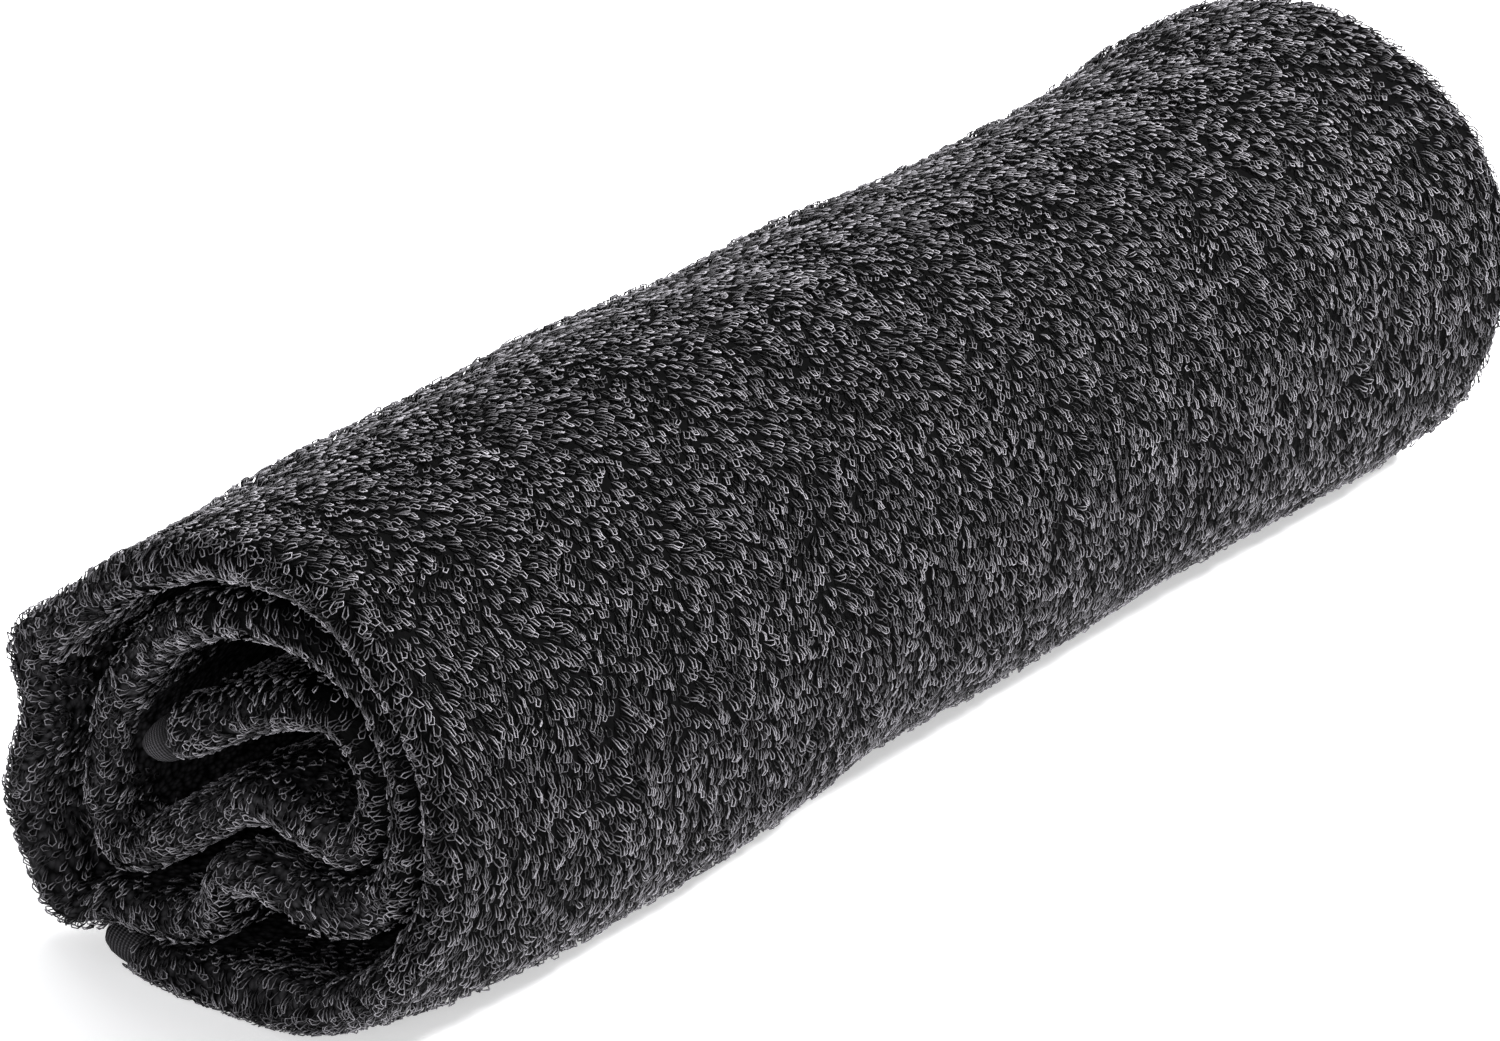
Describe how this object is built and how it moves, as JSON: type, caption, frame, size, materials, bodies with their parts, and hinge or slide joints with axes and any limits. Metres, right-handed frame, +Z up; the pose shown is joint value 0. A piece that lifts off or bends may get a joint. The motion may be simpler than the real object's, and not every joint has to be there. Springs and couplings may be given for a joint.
{
  "type": "rolled bath towel",
  "caption": "Bath towel of dark terry cloth, folded in four along its length and rolled up, lying on its side with the folded end open to view.",
  "frame": {"origin": "middle of the box's underside, on the surface that the roll lies on", "axes": "+X along the roll, from the folded end to the end with the short hems; +Z up; the outer selvedge lies under the roll on its +Y side"},
  "size_m": [0.3526, 0.1098, 0.1002],
  "materials": {
    "terry": "matte looped pile, charcoal"
  },
  "bodies": {
    "root": {"towel_roll": "terry"}
  },
  "joints": []
}
